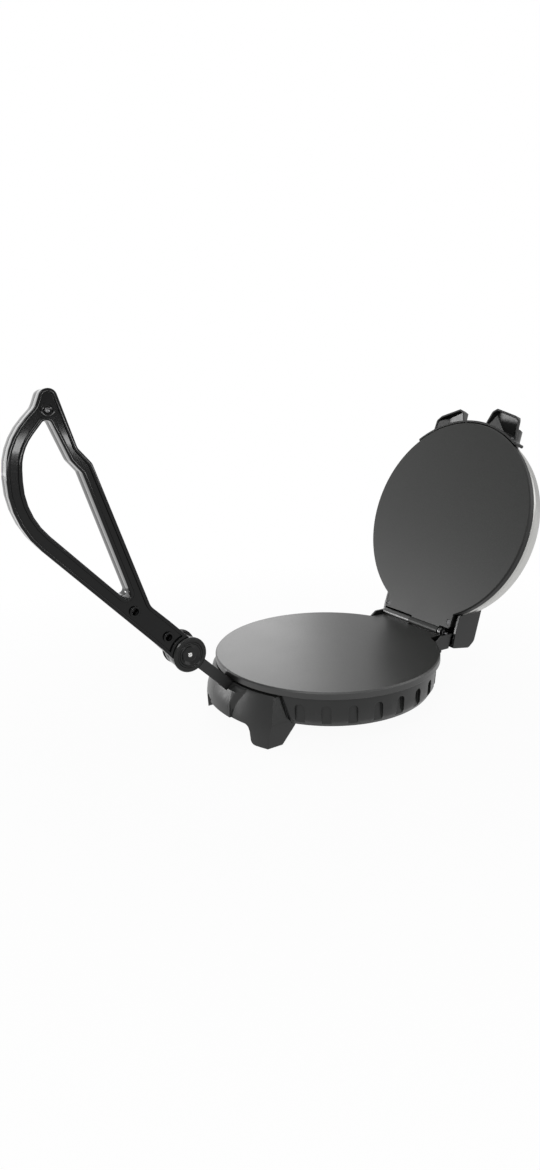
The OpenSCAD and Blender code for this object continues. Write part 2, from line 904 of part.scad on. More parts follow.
// Outside of the loop handle in its place in front: [y, z, corner radius]
handle_outer = [[-171.5, 45.5, 0], [-195, 69.2, 40], [-213.5, 87, 14], [-263.5, 228, 10],
    [-276, 242.5, 9], [-294, 297.5, 7], [-306.8, 296, 7], [-311, 279.5, 14],
    [-337.4, 250.6, 70], [-337.4, 180, 92], [-203.5, 42.3, 30], [-190, 27, 0]];
// Opening of the loop
handle_opening = [[-227.3, 86.7, 4], [-272.8, 219.5, 6], [-282.5, 231, 8],
    [-300.5, 272.5, 5], [-323.8, 242.5, 48], [-323.8, 186.7, 72]];
handle_screw_at = [[-300.2, 276.7], [-229.3, 84.5], [-196.5, 53]];
handle_screw_in = [3.4, 9, 9];
rim_w = 3;
rim_h = 1.4;
edge = 1;

// Flat shape of the loop, drawn in from its edges by a distance
module loop_shape(d) {
    difference() {
        union() {
            polygon(rounded(inset(handle_outer, d)));
            translate([-knuckle_y, knuckle_z]) circle(r = 15 - d);
        }
        polygon(rounded(inset(handle_opening, -d)));
    }
}

// One half of the handle on the +X side, with its fork arm at the knuckle
module handle_half() {
    half = handle_w / 2;
    arm = strut_w / 2 + fork_gap;
    difference() {
        union() {
            along_x(0, half - edge) loop_shape(0);
            along_x(half - edge - 0.01, half) loop_shape(edge);
        }
        rod_x([-knuckle_y, knuckle_z], fork_clear_r, -1, arm);
        rod_x([-knuckle_y, knuckle_z], knuckle_pin_r + slip, -1, far);
        along_x(half - rim_h, half + 1) difference() {
            loop_shape(edge + rim_w);
            translate([-knuckle_y, knuckle_z]) circle(r = disc_r + 3);
            for (at = handle_screw_at) translate(at) circle(r = 6.4);
        }
    }
}

module screw_recess() {
    for (i = [0:2]) {
        rod_x(handle_screw_at[i], 4.2, handle_w / 2 - handle_screw_in[i], far);
        rod_x(handle_screw_at[i], 1.8, -9, far);
    }
}

module handle_right() {
    color(black) on_handle() difference() {
        handle_half();
        screw_recess();
    }
}

module handle_left() {
    color(black) on_handle() difference() {
        mirror([1, 0, 0]) handle_half();
        screw_recess();
    }
}

module handle_screws() {
    color(zinc) on_handle()
        for (i = [0:2])
            translate([handle_w / 2 - handle_screw_in[i], handle_screw_at[i][0],
                handle_screw_at[i][1]]) difference() {
                union() {
                    rod_x([0, 0], 1.7, -12, 0.5);
                    rod_x([0, 0], 3.7, 0, 2);
                }
                for (a = [0, 90])
                    translate([1.4, 0, 0])
                        rotate([a, 0, 0])
                            translate([0, -2.2, -0.45])
                                cube([2, 4.4, 0.9]);
            }
}

base_tub();
front_saddle();
bottom_cover();
rear_hinge_block();
foot_pads();
bottom_screws();
cord_bushing();
lower_plate();
base_gasket();
lower_element();
lower_heat_shield();
plate_posts();
thermal_fuse();
strut();
strut_bracket();
strut_bolt();
knuckle_disc_right();
knuckle_disc_left();
knuckle_pin();
hinge_pin();
hinge_clips();
upper_plate();
lid_gasket();
upper_element();
lid_heat_shield();
lid_shell();
press_block();
rear_housing();
control_panel();
neck_screws();
thermostat();
thermostat_bracket();
power_lamp();
ready_lamp();
thermostat_knob();
handle_right();
handle_left();
handle_screws();
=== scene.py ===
"""Electric roti maker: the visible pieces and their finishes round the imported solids,
with a pale floor, soft light and a camera at the photograph's angle."""

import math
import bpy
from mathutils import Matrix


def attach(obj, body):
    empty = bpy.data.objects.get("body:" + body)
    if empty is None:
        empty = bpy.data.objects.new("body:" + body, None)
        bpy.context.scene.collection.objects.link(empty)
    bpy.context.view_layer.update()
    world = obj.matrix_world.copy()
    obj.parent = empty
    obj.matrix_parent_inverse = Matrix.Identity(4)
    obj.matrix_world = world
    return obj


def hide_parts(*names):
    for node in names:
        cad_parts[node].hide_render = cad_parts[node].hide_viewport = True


bl_info = {
    "name": "Electric roti maker",
    "version": (1, 0, 0),
    "blender": (4, 5, 0),
    "location": "3D View > Sidebar > Roti maker",
    "description": "Builds the visible pieces, finishes, light and camera of a roti maker",
    "category": "Object",
}

import bpy
from mathutils import Matrix, Vector

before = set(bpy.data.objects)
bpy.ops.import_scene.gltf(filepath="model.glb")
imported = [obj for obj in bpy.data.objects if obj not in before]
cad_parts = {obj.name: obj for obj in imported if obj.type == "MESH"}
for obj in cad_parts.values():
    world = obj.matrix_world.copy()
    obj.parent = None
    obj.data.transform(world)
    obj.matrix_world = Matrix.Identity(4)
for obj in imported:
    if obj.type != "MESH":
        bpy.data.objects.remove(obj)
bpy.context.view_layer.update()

MM = 0.001

# Sizes in millimetres and degrees, heights from the lower plate's face, -Y to the handle
SHIFT_Y = 39.75
TABLE_H = 60.0
HINGE_Y = 136.1
HINGE_Z = 2.6
LID_OPEN = 111.0
KNUCKLE_Y = 175.7
KNUCKLE_Z = 31.9

PIVOT = Vector((0.0, 0.0, 0.0))
# Radius that stands for a point on a lathe's axis
AXIS_R = 0.001
# Points nearer than this are merged: millimetres on drawn pieces, metres on placed solids
LATHE_MERGE = 0.004
SLAB_MERGE = 0.002
SOLID_MERGE = 0.00002
# Degrees past which an edge stays sharp, and below which a solid's edge is dissolved
SHARP_EDGE = 32
SOLID_SHARP_EDGE = 30
HANDLE_SHARP_EDGE = 35
FLAT_EDGE = 0.4
# Degrees from point to point along a rounded corner, of an outline and of a lathe's profile
CORNER_STEP = 9.0
PROFILE_STEP = 18.0
# Points round a circle: wide turned pieces, the knuckle, small pieces, and a grip rib
WIDE_STEPS = 96
KNUCKLE_STEPS = 72
SMALL_STEPS = 48
GRIP_STEPS = 10

# Loop handle seen from the side: (across, up, corner radius)
HANDLE_OUTER = [
    (-171.5, 45.5, 0), (-195, 69.2, 40), (-213.5, 87, 14), (-263.5, 228, 10), (-276, 242.5, 9),
    (-294, 297.3, 7.8), (-305.6, 294.6, 7.4), (-311, 279.5, 14), (-337.4, 250.6, 70),
    (-337.4, 180, 92), (-203.5, 42.3, 30), (-190, 27, 0),
]
HANDLE_OPENING = [
    (-227.3, 86.7, 4), (-272.8, 219.5, 6), (-282.5, 231, 8), (-300.5, 272.5, 5),
    (-323.8, 242.5, 48), (-323.8, 186.7, 72),
]
# Screw places with the depth and radius of each counterbore
HANDLE_SCREWS = (
    ((-300.2, 276.7), 3.4, 4.6), ((-229.3, 84.5), 9.0, 3.5), ((-196.5, 53.0), 9.0, 3.5),
)
# Pan-head screw upwards from the foot of its shank, and half the size of its cross's bars
SCREW_PROFILE = [
    (0, -11, 0), (1.7, -11, 0), (1.7, 0, 0), (3, 0, 0), (3, 0.9, 0.3), (2.3, 1.8, 0.7),
    (0, 1.95, 0),
]
CROSS_LONG, CROSS_WIDE, CROSS_ROUND = 1.7, 0.42, 0.05
CROSS_LOW, CROSS_HIGH = 0.6, 3
CROSS_TURNS = (15, 105)
# One half of the handle: its width, the round of its seam, the foot and round of its rims,
# the flat land round the knuckle, the walls and rounds of the counterbores, and the pin's bore
HALF_W = 13.5
SEAM = 0.35
RIM_FOOT, RIM_ROUND = 2.4, 1.1
LAND_R, LAND_IN, LAND_ROUND = 20.5, 0.4, 0.3
WELL_WALL, WELL_ROUND = 1.8, 0.2
BOSS_ROUND = 0.5
BORE_R = 3.05
# How deep one shape is sunk in the next, so that they join
SUNK = 1
# Round on a tool that only cuts
TOOL_ROUND = 0.1
# Fork: its outside, the room for the strut's eye, and how far from the middle its arms start
EYE_R = 16.8
FORK_R = 17.4
ARM_X = 10.35
# It is closed behind the strut's eye, from one angle to the other
WEB_R = 14.9
WEB_FROM, WEB_TO = 120, 262

# Knuckle cover outwards from the handle's side: (radius, height, corner radius)
DISC_PROFILE = [
    (2.5, 0.1, 0), (17.4, 0.1, 0), (17.5, 1.3, 0.5), (16.3, 2.6, 0.9), (13.4, 2.6, 0.4),
    (12.7, 1.5, 0.4), (11.3, 1.5, 0.4), (10.6, 2.6, 0.4), (9.6, 2.6, 0.4),
    (7.2, 0.7, 1.2), (2.5, 0.7, 0),
]
RIVET_PROFILE = [
    (0, 0, 0), (2.4, 0, 0), (2.3, 0.8, 0.3), (1.8, 1.2, 0.4), (1.0, 1.2, 0.2), (0.6, 0.8, 0.2),
    (0, 0.8, 0),
]
SHANK_PROFILE = [(0, -15, 0), (2.4, -15, 0), (2.4, 15, 0), (0, 15, 0)]
# How far the cover and the rivet's head stand off the handle's side
COVER_OUT, RIVET_OUT = 0.3, 1.5
# Skin of the boss round the strut's foot, and the plan and heights of a slanted flank
BOSS_SKIN = [
    (126.8, -9.5), (133.9, -14.2), (138.3, -28), (139.3, -39.9), (128.5, -39.9), (126.8, -16),
]
BOSS_FLANK = [(16.5, -120), (16.5, -138.1), (34, -124.6), (34, -120)]
FLANK_LOW, FLANK_HIGH = -45, -5
BOSS_STEPS = 180
KNOB_AT = (0.0, 94.0)
KNOB_Z = 44.0
# Thermostat knob upwards from its foot
KNOB_PROFILE = [
    (3.05, 0.1, 0), (14.9, 0.1, 0.2), (15, 1.6, 0.5), (13, 3, 1.2), (12.4, 10.2, 0.4),
    (11.4, 11.5, 1.1), (6, 11.2, 2), (3.3, 11.5, 0), (0, 11.5, 0), (0, 8.9, 0), (3.05, 8.9, 0),
]
# One of the knob's grip ribs, its place on the knob, and the pointer's line
GRIP_PROFILE = [(0, 0, 0), (0.9, 0, 0), (0.9, 9.4, 0.5), (0, 9.4, 0)]
GRIP_R, GRIP_Z = 12.1, 1
POINTER_HALF_W, POINTER_FROM, POINTER_TO = 0.55, 4.6, 10.6
POINTER_LOW, POINTER_HIGH, POINTER_ROUND = 11.0, 11.58, 0.08
# Lamp cap upwards from its foot
LAMP_PROFILE = [(0, 0, 0), (3, 0, 0), (3, 7.6, 0.4), (2.4, 8.6, 1), (0, 9, 0)]
LAMPS = (("power_lamp", -11.0, "red_lens"), ("ready_lamp", 11.0, "green_lens"))
LAMP_Y = 127.0
LAMP_DOWN = 6
POD_Z = 43.0
PANEL_Z = 43.6
PANEL_DOWN, PANEL_ROUND = 1.6, 0.25
KNOB_HOLE_R, LAMP_HOLE_R = 4.0, 3.05
# Plan of the control panel: (across, along, corner radius)
PANEL_PLAN = [
    (-60, 137, 8), (-60, 108, 40), (-38, 56, 40), (38, 56, 40), (60, 108, 40), (60, 137, 8),
]
PANEL_IN = 4.05

# Marks round the knob: angles run clockwise from the first number
DIAL_TICKS = 17
DIAL_EACH = 4
DIAL_START = 135.0
DIAL_TURN = -270.0
TICK_FROM, TICK_SHORT, TICK_LONG, TICK_HALF_W = 17.0, 18.6, 20.0, 0.25
DIGIT_R = 23
STROKE_HALF_W = 0.22
# The print is a thin skin that starts just under the panel's face
PRINT_LOW, PRINT_HIGH, PRINT_ROUND = -0.05, 0.03, 0.01
# Strokes of the numbers one to five: (x, y, x, y) from end to end
LOW, MID, TOP = -1.3, 0.0, 1.3
DIGITS = (
    ((0, LOW, 0, TOP),),
    ((-0.8, TOP, 0.8, TOP), (0.8, TOP, 0.8, MID), (-0.8, MID, 0.8, MID), (-0.8, MID, -0.8, LOW),
     (-0.8, LOW, 0.8, LOW)),
    ((-0.8, TOP, 0.8, TOP), (0.8, LOW, 0.8, TOP), (-0.8, MID, 0.8, MID), (-0.8, LOW, 0.8, LOW)),
    ((-0.8, TOP, -0.8, MID), (0.8, LOW, 0.8, TOP), (-0.8, MID, 0.8, MID)),
    ((-0.8, TOP, 0.8, TOP), (-0.8, TOP, -0.8, MID), (-0.8, MID, 0.8, MID), (0.8, MID, 0.8, LOW),
     (-0.8, LOW, 0.8, LOW)),
)

# Stage, in metres, watts and degrees: (lamp, place, power, width, height)
STUDIO_LAMPS = (
    ("key", (1.1, -1.5, 1.6), 20.0, 0.8, 0.8),
    ("side", (-2.0, -0.2, 0.8), 9.5, 3.2, 1.5),
    ("low_front", (-1.45, -1.45, 0.25), 18.0, 0.8, 0.4),
    ("far_side", (-1.7, 0.6, 0.8), 3.4, 1.0, 1.0),
    ("strip", (1.9, 0.1, 0.22), 4.5, 1.4, 0.05),
    ("top", (0.0, 0.2, 2.2), 18.0, 2.6, 2.6),
    ("back", (1.2, 1.7, 1.1), 10.0, 1.6, 1.6),
)
LAMPS_FACE = (0.0, 0.0, 0.12)
FLOOR_Z = -0.0002
CAMERA_AT = (0.6103, -0.39175, 0.3339)
CAMERA_AZIMUTH, CAMERA_ELEVATION, CAMERA_ROLL = 59.32, 4.74, -1.38
CAMERA_SHIFT = -0.1042
SENSOR_HEIGHT = 36.0
CAMERA_END = 50.0

# ---- Places ----


def move(x, y, z):
    """A shift."""
    return Matrix.Translation((x, y, z))


def turn(degrees, axis):
    """A turn about an axis."""
    return Matrix.Rotation(math.radians(degrees), 4, axis)


FLAT = Matrix.Identity(4)
ON_TABLE = Matrix.Scale(MM, 4) @ move(0, SHIFT_Y, TABLE_H)
ON_HINGE = ON_TABLE @ move(0, HINGE_Y, HINGE_Z)
ON_LID = ON_HINGE @ turn(-LID_OPEN, "X") @ move(0, -HINGE_Y, -HINGE_Z)
ON_KNUCKLE = ON_TABLE @ move(0, -KNUCKLE_Y, KNUCKLE_Z)
LID_AXIS = (turn(-LID_OPEN, "X") @ Vector((0, 0, 1, 0))).to_3d()
# A drawing's right is +Y, its up is +Z, and its thickness runs along +X
SIDE_ON = Matrix(((0, 0, 1, 0), (1, 0, 0, 0), (0, 1, 0, 0), (0, 0, 0, 1)))


# ---- Outlines ----


def corner_arc(a, b, c, radius, step):
    """Points of the arc that rounds corner b between its neighbours a and c."""
    a, b, c = (Vector(p[:2]) for p in (a, b, c))
    to_a, to_c = (a - b).normalized(), (c - b).normalized()
    half = to_a.angle(to_c) / 2
    centre = b + (to_a + to_c).normalized() * radius / math.sin(half)
    first = b + to_a * radius / math.tan(half) - centre
    last = b + to_c * radius / math.tan(half) - centre
    start = math.atan2(first.y, first.x)
    sweep = (math.atan2(last.y, last.x) - start + math.pi) % (2 * math.pi) - math.pi
    count = max(1, math.ceil(abs(math.degrees(sweep)) / step))
    arc = []
    for i in range(count + 1):
        angle = start + sweep * i / count
        arc.append((centre.x + radius * math.cos(angle), centre.y + radius * math.sin(angle)))
    return arc


def rounded(corners, step=CORNER_STEP):
    """Closed outline from corners given as (across, up, corner radius)."""
    outline = []
    for i, b in enumerate(corners):
        a, c = corners[i - 1], corners[(i + 1) % len(corners)]
        if b[2] > 0:
            outline += corner_arc(a, b, c, b[2], step)
        else:
            outline.append((b[0], b[1]))
    return outline


def inset(corners, distance):
    """The same corners drawn inwards by a distance square to the sides."""
    count = len(corners)
    area = sum(
        corners[i][0] * corners[(i + 1) % count][1] - corners[(i + 1) % count][0] * corners[i][1]
        for i in range(count)
    )
    way = 1 if area > 0 else -1
    drawn = []
    for i, here in enumerate(corners):
        a, b, c = (Vector(p[:2]) for p in (corners[i - 1], here, corners[(i + 1) % count]))
        u, v = (b - a).normalized(), (c - b).normalized()
        nu, nv = way * Vector((-u.y, u.x)), way * Vector((-v.y, v.x))
        q = b + (nu + nv) * distance / (1 + nu.dot(nv))
        bulge = 1 if way * u.cross(v) > 0 else -1
        radius = max(0.5, here[2] - bulge * distance) if here[2] > 0 else 0
        drawn.append((q.x, q.y, radius))
    return drawn


def ring(at, radius, count=SMALL_STEPS):
    """Closed round outline."""
    return [
        (
            at[0] + radius * math.cos(2 * math.pi * i / count),
            at[1] + radius * math.sin(2 * math.pi * i / count),
        )
        for i in range(count)
    ]


def box(left, low, right, high):
    """Closed four-sided outline."""
    return [(left, low), (right, low), (right, high), (left, high)]


# ---- Shaping ----


def only(piece):
    """Selects one piece and nothing else."""
    bpy.ops.object.select_all(action="DESELECT")
    piece.select_set(True)
    bpy.context.view_layer.objects.active = piece


def open_mesh(piece):
    """Opens a piece in edit mode with all of it selected."""
    only(piece)
    bpy.ops.object.mode_set(mode="EDIT")
    bpy.ops.mesh.select_all(action="SELECT")


def close_mesh():
    """Goes back to object mode."""
    bpy.ops.object.mode_set(mode="OBJECT")


def settle(piece, place):
    """Puts a piece drawn in millimetres in its place and writes that into its mesh."""
    piece.matrix_world = place
    only(piece)
    bpy.ops.object.transform_apply(location=True, rotation=True, scale=True)
    return piece


def smooth(piece, degrees=SHARP_EDGE):
    """Shades a piece smooth across its gentle edges."""
    only(piece)
    bpy.ops.object.shade_smooth_by_angle(angle=math.radians(degrees))
    return piece


def lathe(name, profile, place, steps, closed=False):
    """Spins (radius, height) points round Z, by extruding a circle from point to point."""
    radius, height = max(profile[0][0], AXIS_R), profile[0][1]
    bpy.ops.object.select_all(action="DESELECT")
    bpy.ops.mesh.primitive_circle_add(
        vertices=steps, radius=radius, location=(0, 0, 0), fill_type="NOTHING"
    )
    piece = bpy.context.object
    piece.name = name
    open_mesh(piece)
    bpy.ops.transform.translate(value=(0, 0, height))
    points = profile[1:] + (profile[:1] if closed else [])
    for next_radius, next_height in points:
        bpy.ops.mesh.extrude_edges_move()
        grow = max(next_radius, AXIS_R) / radius
        bpy.ops.transform.resize(value=(grow, grow, 1), center_override=PIVOT)
        bpy.ops.transform.translate(value=(0, 0, next_height - height))
        radius, height = max(next_radius, AXIS_R), next_height
    bpy.ops.mesh.select_all(action="SELECT")
    bpy.ops.mesh.remove_doubles(threshold=LATHE_MERGE)
    bpy.ops.mesh.normals_make_consistent(inside=False)
    close_mesh()
    return smooth(settle(piece, place))


def turned(name, corners, place, steps, closed=False):
    """Spins (radius, height, corner radius) corners round Z."""
    return lathe(name, rounded(corners, PROFILE_STEP), place, steps, closed)


def slab(name, loops, low, high, edge, place, edge_steps=3):
    """Fills closed outlines, gives them thickness and rounds their edges."""
    curve = bpy.data.curves.new(name, "CURVE")
    curve.dimensions = "2D"
    curve.fill_mode = "BOTH"
    curve.bevel_depth = edge
    curve.bevel_resolution = edge_steps
    curve.offset = -edge
    curve.extrude = (high - low) / 2 - edge
    for loop in loops:
        spline = curve.splines.new("POLY")
        spline.points.add(len(loop) - 1)
        for point, (across, up) in zip(spline.points, loop):
            point.co = (across, up, 0, 1)
        spline.use_cyclic_u = True
    piece = bpy.data.objects.new(name, curve)
    bpy.context.scene.collection.objects.link(piece)
    only(piece)
    bpy.ops.object.convert(target="MESH")
    piece = bpy.context.object
    open_mesh(piece)
    bpy.ops.mesh.remove_doubles(threshold=SLAB_MERGE)
    bpy.ops.mesh.normals_make_consistent(inside=False)
    close_mesh()
    return smooth(settle(piece, place @ move(0, 0, (low + high) / 2)))


def joined(name, parts):
    """Makes one piece of several."""
    bpy.ops.object.select_all(action="DESELECT")
    for part in parts:
        part.select_set(True)
    bpy.context.view_layer.objects.active = parts[0]
    bpy.ops.object.join()
    parts[0].name = name
    return parts[0]


def cut(piece, tool, operation="DIFFERENCE"):
    """Takes a tool's shape out of a piece, or adds it, and removes the tool."""
    only(piece)
    change = piece.modifiers.new("cut", "BOOLEAN")
    change.operation = operation
    change.object = tool
    change.solver = "EXACT"
    bpy.ops.object.modifier_apply(modifier=change.name)
    bpy.data.objects.remove(tool)
    return piece


def shaped_copy(node):
    """A merged copy of a solid, for a finish with smooth rounds."""
    piece = bpy.data.objects.new(node + "_shape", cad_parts[node].data.copy())
    bpy.context.scene.collection.objects.link(piece)
    open_mesh(piece)
    bpy.ops.mesh.customdata_custom_splitnormals_clear()
    bpy.ops.mesh.remove_doubles(threshold=SOLID_MERGE)
    bpy.ops.mesh.dissolve_limited(angle_limit=math.radians(FLAT_EDGE))
    close_mesh()
    return smooth(piece, SOLID_SHARP_EDGE)


def dress(piece, name, body, slot, material, *nodes):
    """Names a piece, gives it its finish and lets it ride on its body."""
    piece.name = name
    piece.data.name = name
    piece.data.materials.clear()
    piece.data.materials.append(material)
    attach(piece, body)
    if nodes:
        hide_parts(*nodes)
    return piece


def finish_node(node, material):
    """Gives a solid of the frame its finish."""
    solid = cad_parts[node]
    if not solid.material_slots:
        solid.data.materials.append(material)
    for slot in solid.material_slots:
        slot.material = material


# ---- Finishes ----


class Value:
    """A shader socket that can be used in sums."""

    def __init__(self, finish, socket):
        self.finish = finish
        self.socket = socket

    def maths(self, operation, first, second):
        """One step of a sum."""
        return self.finish.add("ShaderNodeMath", {"operation": operation}, {0: first, 1: second})

    def __add__(self, other):
        return self.maths("ADD", self, other)

    def __radd__(self, other):
        return self.maths("ADD", other, self)

    def __sub__(self, other):
        return self.maths("SUBTRACT", self, other)

    def __rsub__(self, other):
        return self.maths("SUBTRACT", other, self)

    def __mul__(self, other):
        return self.maths("MULTIPLY", self, other)

    def __rmul__(self, other):
        return self.maths("MULTIPLY", other, self)

    def __pow__(self, other):
        return self.maths("POWER", self, other)

    def kept(self, low, high):
        """Stretches low..high to 0..1 and stops there."""
        return self.finish.add(
            "ShaderNodeMapRange",
            {"clamp": True},
            {"Value": self, "From Min": low, "From Max": high},
        )


class Finish:
    """A material's nodes."""

    def __init__(self, name):
        self.material = bpy.data.materials.new(name)
        self.material.use_nodes = True
        self.nodes = self.material.node_tree.nodes
        self.links = self.material.node_tree.links
        self.nodes.clear()
        self.place = self.add("ShaderNodeTexCoord", {}, {}, "Object")

    def add(self, kind, settings, sockets, result=0):
        """Adds a node, sets it, fills or links its sockets and gives one of its outputs."""
        node = self.nodes.new(kind)
        for key, value in settings.items():
            setattr(node, key, value)
        for key, value in sockets.items():
            if isinstance(value, Value):
                self.links.new(value.socket, node.inputs[key])
            else:
                node.inputs[key].default_value = value
        return Value(self, node.outputs[result])

    def grain(self, scale, detail, rough=0.5, place=None):
        """Uneven pattern, finer as its scale grows."""
        return self.add(
            "ShaderNodeTexNoise",
            {},
            {"Vector": place or self.place, "Scale": scale, "Detail": detail, "Roughness": rough},
            "Fac",
        )

    def blend(self, amount, first, second):
        """Colour between two others."""
        return self.add(
            "ShaderNodeMix", {"data_type": "RGBA"}, {0: amount, 6: first, 7: second}, 2
        )

    def moved(self, location=(0, 0, 0), rotation=(0, 0, 0), scale=(1, 1, 1)):
        """The piece's places, seen from another origin, turn and scale."""
        return self.add(
            "ShaderNodeMapping",
            {"vector_type": "TEXTURE"},
            {"Vector": self.place, "Location": location, "Rotation": rotation, "Scale": scale},
        )

    def soft_edge(self, radius):
        """The surface's direction, rounded over its edges."""
        return self.add("ShaderNodeBevel", {"samples": 4}, {"Radius": radius}, "Normal")

    def edge_mask(self, radius):
        """One on sharp edges, nothing on flats."""
        normal = self.add("ShaderNodeNewGeometry", {}, {}, "Normal")
        dot = self.add(
            "ShaderNodeVectorMath",
            {"operation": "DOT_PRODUCT"},
            {0: self.soft_edge(radius), 1: normal},
            "Value",
        )
        return (1.0 - dot).kept(0.0, 0.18)

    def bump(self, height, strength, distance, normal=None):
        """Fine relief on the surface's direction."""
        sockets = {"Height": height, "Strength": strength, "Distance": distance}
        if normal:
            sockets["Normal"] = normal
        return self.add("ShaderNodeBump", {}, sockets, "Normal")

    def surface(self, **sockets):
        """Closes the material with a surface whose sockets are given by name."""
        names = {key.replace("_", " "): value for key, value in sockets.items()}
        shader = self.add("ShaderNodeBsdfPrincipled", {}, names, "BSDF")
        output = self.nodes.new("ShaderNodeOutputMaterial")
        self.links.new(shader.socket, output.inputs["Surface"])
        return self.material


def tint(colour, factor):
    """A colour made darker or lighter."""
    return (colour[0] * factor, colour[1] * factor, colour[2] * factor, 1.0)


def moulded(name, colour, roughness, texture, edge, gloss=0.5):
    """Injection-moulded plastic: fine grain, slight sink, edges a little smoother and painted
    lighter as a highlight.
    """
    f = Finish(name)
    broad = f.grain(scale=22.0, detail=3.0)
    fine = f.grain(scale=2400.0, detail=2.0, rough=0.6)
    painted_highlight_edges = f.edge_mask(edge)
    base = f.blend(broad.kept(0.3, 0.7), tint(colour, 0.8), tint(colour, 1.2))
    # Painted highlight: the edges are painted up to 2.2 times lighter than the plastic
    base = f.blend(painted_highlight_edges * 0.55, base, tint(colour, 2.2))
    rough = roughness + (broad - 0.5) * 0.12 + (fine - 0.5) * 0.1 - painted_highlight_edges * 0.06
    normal = f.bump(broad, strength=0.05, distance=0.002, normal=f.soft_edge(edge))
    normal = f.bump(fine, strength=texture, distance=0.0001, normal=normal)
    return f.surface(
        Base_Color=base, Roughness=rough, Specular_IOR_Level=gloss, Normal=normal
    )


def polished(name, colour, roughness):
    """Moulded in a polished tool: deep gloss with faint flow waves and hairline rubs."""
    f = Finish(name)
    broad = f.grain(scale=16.0, detail=3.0)
    haze = f.grain(scale=140.0, detail=4.0, rough=0.65)
    hair = f.grain(scale=900.0, detail=2.0, rough=0.6, place=f.moved(scale=(1, 0.15, 1)))
    base = f.blend(broad.kept(0.3, 0.7), tint(colour, 0.8), tint(colour, 1.2))
    base = f.blend(haze.kept(0.5, 0.8) * 0.3, base, tint(colour, 2.0))
    rough = roughness * (1.0 + (haze - 0.5) * 0.6 + (hair - 0.5) * 0.3)
    normal = f.bump(broad, strength=0.06, distance=0.004)
    return f.surface(
        Base_Color=base, Roughness=rough, Specular_IOR_Level=0.25, Normal=normal
    )


def coated(name, colour, axis, roughness, gloss):
    """Non-stick coating on cast metal: speckled and dry, with painted shade on its side walls and
    a painted highlight on its edges.
    """
    f = Finish(name)
    facing = f.add("ShaderNodeTexCoord", {}, {}, "Normal")
    across = f.add(
        "ShaderNodeVectorMath", {"operation": "DOT_PRODUCT"}, {0: facing, 1: axis}, "Value"
    )
    # Painted shade: faces turned away from the plate's axis, its side walls and rim, are darkened
    wall = 1.0 - (across * across).kept(0.3, 0.8)
    cloud = f.grain(scale=9.0, detail=4.0, rough=0.6)
    speck = f.grain(scale=620.0, detail=3.0, rough=0.7)
    fleck = f.grain(scale=1150.0, detail=1.0).kept(0.63, 0.76)
    painted_highlight_edges = f.edge_mask(0.0009)
    base = f.blend(speck.kept(0.35, 0.7), tint(colour, 0.7), tint(colour, 1.3))
    base = f.blend(fleck * 0.5, base, tint(colour, 2.8))
    base = f.blend(cloud.kept(0.35, 0.75) * 0.18, base, tint(colour, 1.5))
    # Painted shade on the side walls, down to a third of the coating's colour
    base = f.blend(wall, base, tint(colour, 0.3))
    # Painted highlight: the edges are painted up to twice as light
    base = f.blend(painted_highlight_edges * 0.3, base, tint(colour, 2.0))
    rough = roughness + (speck - 0.5) * 0.2 + (cloud - 0.5) * 0.1
    normal = f.bump(speck, strength=0.16, distance=0.0002, normal=f.soft_edge(0.0007))
    return f.surface(Base_Color=base, Roughness=rough, Specular_IOR_Level=gloss, Normal=normal)


def stainless(name, colour, roughness):
    """Polished sheet with fine turned lines round the lid's middle."""
    f = Finish(name)
    middle = tuple(ON_LID.to_translation())
    flat = f.moved(location=middle, rotation=(math.radians(-LID_OPEN), 0, 0))
    across = f.add("ShaderNodeSeparateXYZ", {}, {"Vector": flat}, "X")
    along = Value(f, across.socket.node.outputs["Y"])
    radius = (across * across + along * along) ** 0.5
    lines = f.add(
        "ShaderNodeTexNoise",
        {"noise_dimensions": "1D"},
        {"W": radius, "Scale": 5200.0, "Detail": 3.0, "Roughness": 0.65},
        "Fac",
    )
    cloud = f.grain(scale=14.0, detail=3.0)
    mark = f.grain(scale=160.0, detail=4.0, rough=0.7)
    base = f.blend(cloud.kept(0.3, 0.7), tint(colour, 0.93), tint(colour, 1.06))
    rough = roughness + (lines - 0.5) * 0.16 + (mark - 0.5) * 0.08 + (cloud - 0.5) * 0.06
    normal = f.bump(lines, strength=0.05, distance=0.0002, normal=f.soft_edge(0.0006))
    return f.surface(Base_Color=base, Metallic=1.0, Roughness=rough, Normal=normal)


def metal(name, colour, roughness):
    """Plated or rolled metal with a fine uneven surface."""
    f = Finish(name)
    broad = f.grain(scale=60.0, detail=3.0)
    fine = f.grain(scale=900.0, detail=2.0)
    base = f.blend(broad.kept(0.3, 0.7), tint(colour, 0.85), tint(colour, 1.1))
    rough = roughness + (broad - 0.5) * 0.2 + (fine - 0.5) * 0.12
    normal = f.bump(fine, strength=0.08, distance=0.0001, normal=f.soft_edge(0.0004))
    return f.surface(Base_Color=base, Metallic=1.0, Roughness=rough, Normal=normal)


def rubbery(name, colour):
    """Matte rubber or silicone with a dusty bloom."""
    f = Finish(name)
    dust = f.grain(scale=90.0, detail=4.0, rough=0.7)
    fine = f.grain(scale=1800.0, detail=2.0)
    base = f.blend(dust.kept(0.4, 0.8) * 0.5, tint(colour, 0.9), tint(colour, 2.0))
    normal = f.bump(fine, strength=0.2, distance=0.0001, normal=f.soft_edge(0.0005))
    rough = 0.72 + (fine - 0.5) * 0.2
    return f.surface(Base_Color=base, Roughness=rough, Specular_IOR_Level=0.3, Normal=normal)


def lens(name, colour):
    """Coloured clear plastic over a small lamp."""
    f = Finish(name)
    swirl = f.grain(scale=400.0, detail=2.0)
    base = f.blend(swirl.kept(0.3, 0.7), tint(colour, 0.7), tint(colour, 1.3))
    return f.surface(
        Base_Color=base,
        Roughness=0.12 + (swirl - 0.5) * 0.06,
        Coat_Weight=0.6,
        Emission_Color=base,
        Emission_Strength=0.15,
    )


FINISHES = {}


